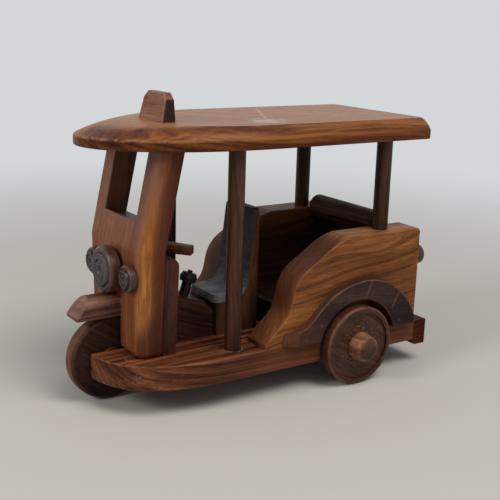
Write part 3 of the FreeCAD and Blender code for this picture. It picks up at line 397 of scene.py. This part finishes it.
def finish_surface(tree, layers, look):
    """Gloss, and the relief of fibres and pores on a slightly uneven hand-carved face."""
    rough = look["rough"]
    smooth = tree.span(layers["fibres"], 0.3, 0.7, rough - 0.05, rough + 0.06)
    tree.feed(tree.shader.inputs["Roughness"], tree.plus(smooth, tree.product(layers["pores"], 0.15)))
    tree.shader.inputs["Specular IOR Level"].default_value = look["gloss"]
    tree.shader.inputs["Coat Weight"].default_value = look["coat"]
    tree.shader.inputs["Coat Roughness"].default_value = COAT_ROUGHNESS
    carved = tree.add("Bump", {"Height": tree.mottle(0.10), "Strength": 0.25, "Distance": 0.003})
    height = tree.less(tree.product(layers["fibres"], 0.5), tree.product(layers["pores"], 0.6))
    relief = tree.add("Bump", {"Height": height, "Strength": 0.3, "Distance": 0.0002,
                               "Normal": carved.outputs[0]})
    tree.feed(tree.shader.inputs["Normal"], relief.outputs[0])


def wood(name, dark, mid, light, axis, seed, tilt=(0, 0, 0), marks=None, **changes):
    """Oiled wood with its grain along one axis: broad bands, streaks, growth lines, fibres
    and short dark pores, darker end grain, paler worn arrises, and pale flecks, partly grain and partly
    painted glints.

    A wood with wear also names its wear_axes and its wear_amount."""
    look = {**LOOK, **changes}
    tree = Tree(name)
    layers = grain_layers(tree, axis, tilt, seed, look["warp"])
    colour = grain_colour(tree, layers, look, dark, mid, light)
    end_grain = tree.span(tree.absolute(tree.normal[AXES[axis][0]]), 0.55, 0.95)
    colour = tree.darken(colour, tree.product(end_grain, look["end_dark"]))
    if look["wear"]:
        colour = wear_arrises(tree, colour, look)
    # Pale flecks: partly flecks in the grain, partly painted glints of the oiled finish.
    if look["specks"]:
        specks = tree.span(tree.mottle(1.2, detail=3.0, rough=0.7), 0.55, 0.70)
        colour = tree.paint(colour, look["speck_colour"], specks, strength=look["specks"])
    if marks:
        colour = marks(tree, colour)
    tree.feed(tree.shader.inputs["Base Color"], colour)
    finish_surface(tree, layers, look)
    return tree.material


# Marks of wear

SPOT_CORE = 0.55  # share of a spot's radius that is at full strength
SCRATCH_CORE = 0.3  # share of a scratch's half width that is at full strength
END_FADE = 1.0  # half the length over which the end of a scratch fades, in millimetres


def spot(tree, centre, radius):
    """Mask of a small round spot with a soft rim."""
    return tree.span(tree.length(tree.minus(tree.place, centre)), radius, radius * SPOT_CORE)


def scratch(tree, start, end, half_width):
    """Mask of a straight scratch between two places, with soft sides and ends."""
    start, end = Vector(start), Vector(end)
    length = (end - start).length
    offset = tree.minus(tree.place, start)
    reach = tree.dot(offset, tuple((end - start) / length))
    square = tree.less(tree.dot(offset, offset), tree.product(reach, reach))
    aside = tree.math("SQRT", tree.math("MAXIMUM", square, 0.0))
    inside = tree.product(tree.span(reach, -END_FADE, END_FADE),
                          tree.span(reach, length + END_FADE, length - END_FADE))
    return tree.product(tree.span(aside, half_width, half_width * SCRATCH_CORE), inside)


def fender_marks(tree, colour):
    """Two long scratches down the left fender, three dull pin heads, a redder tail, a darker back."""
    for (start_x, start_z), (end_x, end_z) in FENDER_SCRATCHES:
        line = scratch(tree, (start_x, FENDER_SIDE, start_z), (end_x, FENDER_SIDE, end_z), half_width=1.1)
        colour = tree.paint(colour, SCRATCH_BROWN, line, strength=0.5)
    for pin_x, pin_z in PIN_HEADS:
        head = spot(tree, (pin_x, FENDER_SIDE, pin_z), radius=0.7)
        colour = tree.paint(colour, PIN_GREY, head, strength=0.4)
    x = tree.xyz[0]
    colour = tree.paint(colour, FENDER_RED, tree.span(x, -22.0, -10.0), strength=0.6)
    return tree.shade(colour, tree.span(x, -76.0, -58.0, 0.62, 1.0))


def base_marks(tree, colour):
    """Orange sides towards the back, bold streaks on top and traces of dried glue."""
    x, y, z = tree.xyz
    side = tree.span(tree.absolute(tree.normal[1]), 0.5, 0.8)
    colour = tree.paint(colour, BASE_ORANGE, side, tree.span(x, 30.0, 5.0), strength=0.45)
    top = tree.span(tree.normal[2], 0.8, 0.95)
    streak = tree.noise(tree.combine(tree.product(x, 0.012), tree.product(y, 0.32), 3.0), detail=1.0)
    colour = tree.paint(colour, STREAK_ORANGE, top, tree.span(streak, 0.50, 0.62), strength=0.6)
    colour = tree.paint(colour, STREAK_BLACK, top, tree.span(streak, 0.46, 0.36), strength=0.5)
    ragged = tree.mottle(0.7, detail=3.0)
    for centre, radius in GLUE_SPOTS:
        colour = tree.paint(colour, GLUE_GREY, spot(tree, centre, radius), tree.span(ragged, 0.40, 0.62),
                            strength=0.35)
    post_x, post_y, post_z = POST_FOOT
    away = tree.root_of_squares(tree.less(x, post_x), tree.less(y, post_y))
    ring = tree.product(tree.span(away, 5.6, 4.6), tree.span(tree.apart(z, post_z), 0.5, 0.2))
    return tree.paint(colour, GLUE_BEIGE, ring, tree.span(ragged, 0.40, 0.60), strength=0.35)


def roof_marks(tree, colour):
    """Painted sheen on the flat top, a scratch and a smear on it, golden bevel, worn nose, darker upright
    edge.
    """
    x, _, z = tree.xyz
    up = tree.normal[2]
    # Painted sheen: the faces that look straight up are made paler, standing in for the sky's reflection.
    colour = tree.paint(colour, ROOF_TOP_SHEEN, tree.span(up, 0.955, 0.995), strength=0.5)
    line = scratch(tree, *ROOF_SCRATCH, half_width=0.9)
    colour = tree.paint(colour, SCRATCH_PALE, line, strength=0.35)
    smear = scratch(tree, *ROOF_SMEAR, half_width=11.0)
    ragged = tree.span(tree.mottle(0.22, detail=3.0), 0.34, 0.60)
    colour = tree.paint(colour, SMEAR_PALE, smear, ragged, strength=0.65)
    bevel = tree.product(tree.span(up, 0.93, 0.80), tree.span(up, 0.1, 0.3))
    streak = tree.span(tree.mottle((0.02, 0.3, 0.7), detail=1.0), 0.50, 0.62)
    colour = tree.paint(colour, ROOF_GOLD, bevel, streak, tree.span(x, -60.0, -10.0, 0.15, 1.0),
                        strength=0.5)
    arris = tree.product(tree.span(tree.apart(z, ROOF_ARRIS), 0.8, 0.3), tree.span(x, 40.0, 80.0))
    patches = tree.span(tree.mottle(0.5, detail=3.0), 0.4, 0.6)
    colour = tree.paint(colour, ROOF_WORN, arris, patches, strength=0.35)
    return tree.shade(colour, tree.span(z, ROOF_ARRIS - 1.0, ROOF_ARRIS + 0.8, 0.75, 1.0))


def slab_marks(tree, colour):
    """Golden sapwood along the left front arris, dark red towards the back, a redder front
    face paled higher up as painted sheen, painted shade at the foot, and a shaded screen opening."""
    x, y, z = tree.xyz
    lean = tree.product(tree.math("MAXIMUM", tree.less(z, KNEE), 0.0), LEAN)
    depth = tree.plus(x, lean)  # x of the spot, had the panel no lean
    streak = tree.mottle((0.45, 0.45, 0.025))
    fine = tree.mottle((0.9, 0.9, 0.05))
    front = tree.span(depth, 66.5, 69.5)
    colour = tree.paint(colour, SLAB_RED, front, tree.span(y, 23.0, 15.0), tree.span(streak, 0.40, 0.58),
                        strength=0.55)
    # Painted sheen: the upper front face is made paler, standing in for the sky's reflection.
    colour = tree.paint(colour, SLAB_FRONT_SHEEN, front, tree.span(z, 66.0, 92.0), strength=0.45)
    colour = tree.paint(colour, SLAB_DARK_RED, tree.span(y, 24.0, 26.0), tree.span(depth, 69.0, 62.5),
                        strength=0.8)
    arris = tree.product(tree.span(y, 20.5, 26.5), tree.span(depth, 64.0, 68.0), tree.span(z, 110.0, 78.0))
    colour = tree.paint(colour, SLAB_ORANGE, arris, tree.span(streak, 0.30, 0.52, 0.35, 1.0), strength=0.75)
    colour = tree.paint(colour, SLAB_GOLD, arris, tree.span(fine, 0.50, 0.62),
                        tree.span(z, 84.0, 50.0, 0.2, 0.75))
    # Painted shade: darker low down at the front left, where the rounded foot turns under onto the base.
    foot_shade = tree.span(tree.plus(z, tree.product(depth, 1.1)), 122.0, 109.0)
    colour = tree.paint(colour, SLAB_FOOT_SHADE, foot_shade, tree.span(y, 20.5, 24.0), strength=0.85)
    stain = tree.product(tree.span(tree.apart(depth, 68.5), 2.2, 0.8), tree.span(y, 24.0, 26.5))
    colour = tree.paint(colour, SLAB_STAIN, stain, tree.span(z, 104.0, 114.0), strength=0.5)
    above_sill = tree.span(tree.less(z, tree.product(x, LEAN)), SILL - 0.5, SILL)
    inside = tree.product(tree.span(tree.absolute(y), SCREEN_SIDE + 0.6, SCREEN_SIDE + 0.2), above_sill)
    return tree.darken(colour, tree.product(inside, 0.55))


def panel_marks(tree, colour):
    """Redder curved front edge with a dark shoulder, and the shaded inner face of the tub."""
    _, y, z = tree.xyz
    ahead = tree.normal[0]
    colour = tree.paint(colour, PANEL_RED, tree.span(ahead, 0.25, 0.6), strength=0.6)
    shoulder = tree.product(tree.span(ahead, 0.15, 0.40), tree.span(z, 56.0, 66.0), tree.span(z, 76.2, 73.0))
    colour = tree.paint(colour, PANEL_DARK, shoulder, strength=0.6)
    inner = tree.span(tree.absolute(y), TUB_INSIDE + 1.2, TUB_INSIDE + 0.6)
    return tree.darken(colour, tree.product(inner, tree.span(z, 78.0, 56.0, 0.25, 0.75)))


def pad_marks(tree, colour):
    """Pan paled in patches, partly for wear and partly as painted light, and a dark back."""
    z = tree.xyz[2]
    patches = tree.span(tree.mottle(0.16, detail=3.0), 0.36, 0.62, 0.35, 0.95)
    # Painted light and wear: the pan is paled in patches, for wear and for the light that falls on it.
    colour = tree.paint(colour, PAD_PAN_LIGHT_AND_WEAR, tree.span(z, 52.0, 45.0), patches)
    return tree.paint(colour, PAD_DARK, tree.span(z, 50.0, 66.0, 0.0, 0.75))


def lamp_marks(face):
    """Marks of a lamp whose dull face is at the given x: a reddish turned side behind it."""
    def side_marks(tree, colour):
        side = tree.span(tree.absolute(tree.normal[0]), 0.80, 0.45)
        behind = tree.span(tree.apart(tree.xyz[0], face), 0.7, 1.3)
        return tree.paint(colour, LAMP_RED, side, behind, strength=0.9)
    return side_marks


def front_wheel_marks(tree, colour):
    """Brown worn tread round the dark faces."""
    tread = tree.span(tree.absolute(tree.normal[1]), 0.60, 0.30)
    patches = tree.span(tree.mottle(0.15), 0.35, 0.65, 0.5, 0.9)
    return tree.paint(colour, TREAD_BROWN, tread, patches)


def rear_wheel_marks(tree, colour):
    """Golden grain round the hub and a slightly redder tread."""
    x, _, z = tree.xyz
    away = tree.root_of_squares(tree.less(x, WHEEL_X), tree.less(z, WHEEL_Z))
    flecks = tree.mottle((0.7, 0.0, 0.7), detail=3.0, rough=0.7)
    colour = tree.paint(colour, HUB_GOLD, tree.span(away, 15.0, 9.0), tree.span(flecks, 0.52, 0.64),
                        strength=0.55)
    return tree.paint(colour, TREAD_RED, tree.span(away, 20.0, 21.5), strength=0.6)


# Materials of the nodes

def finish_with(material, *names):
    """Gives one material to the named nodes."""
    for name in names:
        for slot in nodes[name].material_slots:
            slot.link = "OBJECT"
            slot.material = material


def both(name):
    return f"{name}_left", f"{name}_right"


def make_body_woods():
    """Woods of the boards, panels, fenders and posts."""
    finish_with(wood("panel_wood", dark=(0.105, 0.030, 0.009), mid=(0.220, 0.074, 0.020),
                     light=(0.34, 0.128, 0.036), axis="X", tilt=(62, -4, 0), seed=1.0,
                     bands=0.5, streaks=0.62, pores=0.38, lines=0.5, end_dark=0.15,
                     wear=(0.36, 0.16, 0.07), wear_axes="Y", wear_amount=0.4, marks=panel_marks),
                *both("side_panel"))
    finish_with(wood("slab_wood", dark=(0.100, 0.027, 0.011), mid=(0.205, 0.063, 0.024),
                     light=(0.29, 0.105, 0.038), axis="Z", tilt=(0, 3, 35), seed=2.0, warp=3.5,
                     bands=1.1, streaks=0.6, pores=0.25, lines=0.2, end_dark=0.6,
                     wear=(0.36, 0.16, 0.08), wear_axes="X", wear_amount=0.35, marks=slab_marks),
                "front_panel")
    finish_with(wood("base_wood", dark=(0.040, 0.011, 0.005), mid=(0.120, 0.036, 0.016),
                     light=(0.22, 0.076, 0.032), axis="X", tilt=(38, 0, 3), seed=3.0,
                     streaks=0.85, pores=0.4, lines=0.45, end_dark=0.1,
                     wear=(0.26, 0.11, 0.06), wear_axes="Z", wear_amount=0.3, marks=base_marks),
                "base_board", "front_axle")
    finish_with(wood("bumper_wood", dark=(0.030, 0.007, 0.003), mid=(0.066, 0.016, 0.005),
                     light=(0.098, 0.027, 0.009), axis="Y", seed=3.4,
                     streaks=0.5, lines=0.1, end_dark=0.0, gloss=0.03),
                "rear_bumper")
    finish_with(wood("dash_wood", dark=(0.028, 0.008, 0.006), mid=(0.058, 0.017, 0.011),
                     light=(0.085, 0.027, 0.017), axis="Z", tilt=(0, 0, 20), seed=3.7, pores=0.3),
                "dash_board")
    finish_with(wood("roof_wood", dark=(0.070, 0.016, 0.005), mid=(0.155, 0.043, 0.012),
                     light=(0.26, 0.085, 0.024), axis="X", tilt=(25, 1, 2), seed=4.0,
                     bands=0.8, streaks=0.75, pores=0.35, end_dark=0.2, rough=0.36, gloss=0.10,
                     wear=(0.36, 0.17, 0.08), wear_axes="Z", wear_amount=0.08, marks=roof_marks),
                "roof_board")
    finish_with(wood("sign_wood", dark=(0.095, 0.036, 0.020), mid=(0.190, 0.078, 0.044),
                     light=(0.30, 0.135, 0.080), axis="Y", tilt=(0, 30, 0), seed=5.0,
                     bands=0.7, streaks=0.6, pores=0.4, lines=0.15, end_dark=0.82,
                     wear=(0.36, 0.18, 0.11), wear_axes="X", wear_amount=0.4),
                "roof_sign")
    finish_with(wood("post_wood", dark=(0.020, 0.007, 0.004), mid=(0.050, 0.019, 0.011),
                     light=(0.090, 0.038, 0.022), axis="Z", seed=6.0, pores=0.3, lines=0.2),
                *both("post_middle"), *both("post_rear"))
    finish_with(wood("fender_wood", dark=(0.022, 0.011, 0.010), mid=(0.048, 0.025, 0.021),
                     light=(0.075, 0.040, 0.032), axis="X", tilt=(62, 4, 0), seed=10.0,
                     bands=0.7, streaks=0.5, pores=0.3, lines=0.15, end_dark=0.0, rough=0.46,
                     wear=(0.20, 0.085, 0.045), wear_axes="Y", wear_amount=0.65, marks=fender_marks),
                *both("fender"))


def make_turned_woods():
    """Woods of the wheels, lamps, mudguard and gear lever."""
    finish_with(wood("wheel_wood", dark=(0.024, 0.007, 0.004), mid=(0.060, 0.020, 0.012),
                     light=(0.098, 0.036, 0.021), axis="X", tilt=(0, 35, 0), seed=7.0,
                     bands=0.6, streaks=0.4, pores=0.5, end_dark=0.0, gloss=0.15, coat=0.12,
                     wear=(0.22, 0.080, 0.042), wear_axes="Y", wear_amount=0.5,
                     specks=0.35, speck_colour=(0.21, 0.12, 0.06), marks=rear_wheel_marks),
                *both("rear_wheel"))
    finish_with(wood("front_wheel_wood", dark=(0.014, 0.005, 0.004), mid=(0.030, 0.012, 0.009),
                     light=(0.055, 0.022, 0.014), axis="X", tilt=(0, 35, 0), seed=7.5,
                     streaks=0.5, lines=0.15, end_dark=0.0,
                     wear=(0.15, 0.055, 0.026), wear_axes="Y", wear_amount=0.35,
                     specks=0.3, speck_colour=(0.16, 0.07, 0.03), marks=front_wheel_marks),
                "front_wheel")
    finish_with(wood("hub_wood", dark=(0.120, 0.048, 0.023), mid=(0.270, 0.116, 0.058),
                     light=(0.38, 0.180, 0.094), axis="Y", seed=8.0,
                     streaks=0.6, end_dark=0.66, gloss=0.2, specks=0.25),
                *both("wheel_peg"))
    for name, face, lamps in (("lamp_wood", MIDDLE_LAMP_FACE, ("headlamp_center",)),
                              ("side_lamp_wood", SIDE_LAMP_FACE, both("headlamp")),
                              ("tail_lamp_wood", TAIL_LAMP_FACE, both("tail_lamp"))):
        finish_with(wood(name, dark=(0.013, 0.009, 0.008), mid=(0.028, 0.020, 0.018),
                         light=(0.050, 0.034, 0.029), axis="X", seed=9.0,
                         streaks=0.6, end_dark=0.0, rough=0.32, gloss=0.22, coat=0.15,
                         wear=(0.20, 0.15, 0.13), wear_axes="X", wear_amount=0.45,
                         specks=0.3, marks=lamp_marks(face)),
                    *lamps)
    finish_with(wood("mudguard_wood", dark=(0.058, 0.018, 0.012), mid=(0.128, 0.045, 0.029),
                     light=(0.225, 0.096, 0.064), axis="X", seed=9.5,
                     streaks=0.8, end_dark=0.0, rough=0.38, gloss=0.25,
                     wear=(0.31, 0.155, 0.110), wear_axes="XZ", wear_amount=0.35, specks=0.35),
                "front_mudguard")
    finish_with(wood("lever_wood", dark=(0.010, 0.005, 0.005), mid=(0.028, 0.013, 0.010),
                     light=(0.055, 0.026, 0.018), axis="Z", seed=9.8, rough=0.36),
                "gear_lever")


def make_cabin_woods():
    """Woods of what stands inside, and the black pad of the driver's seat."""
    finish_with(wood("seat_wood", dark=(0.020, 0.007, 0.004), mid=(0.050, 0.018, 0.010),
                     light=(0.095, 0.036, 0.018), axis="Z", seed=11.0),
                "driver_seat_block")
    finish_with(wood("handle_wood", dark=(0.022, 0.008, 0.004), mid=(0.060, 0.021, 0.010),
                     light=(0.11, 0.042, 0.018), axis="Y", seed=11.5),
                "handlebar")
    finish_with(wood("console_wood", dark=(0.010, 0.004, 0.004), mid=(0.024, 0.009, 0.008),
                     light=(0.055, 0.017, 0.012), axis="X", tilt=(0, 20, 0), seed=11.8),
                "console_block")
    # The bench and backrest are near black: dark wood with the shade under the roof painted into it.
    finish_with(wood("cabin_dark_wood_and_shade", dark=(0.007, 0.002, 0.002), mid=(0.016, 0.005, 0.004),
                     light=(0.030, 0.010, 0.007), axis="Y", seed=12.0),
                "bench_seat", "backrest_panel")
    finish_with(wood("roll_wood", dark=(0.032, 0.011, 0.006), mid=(0.074, 0.028, 0.017),
                     light=(0.12, 0.050, 0.030), axis="Y", seed=13.0, gloss=0.05),
                "backrest_roll")
    finish_with(wood("pad_black", dark=(0.024, 0.024, 0.025), mid=(0.044, 0.044, 0.046),
                     light=(0.075, 0.075, 0.078), axis="X", seed=14.0,
                     pores=0.2, lines=0.1, end_dark=0.0, rough=0.5,
                     wear=(0.15, 0.145, 0.14), wear_axes="Z", wear_amount=0.4,
                     specks=0.3, speck_colour=(0.12, 0.12, 0.12), marks=pad_marks),
                "driver_seat_pad")


make_camera()
make_lights()
make_floor()
make_body_woods()
make_turned_woods()
make_cabin_woods()
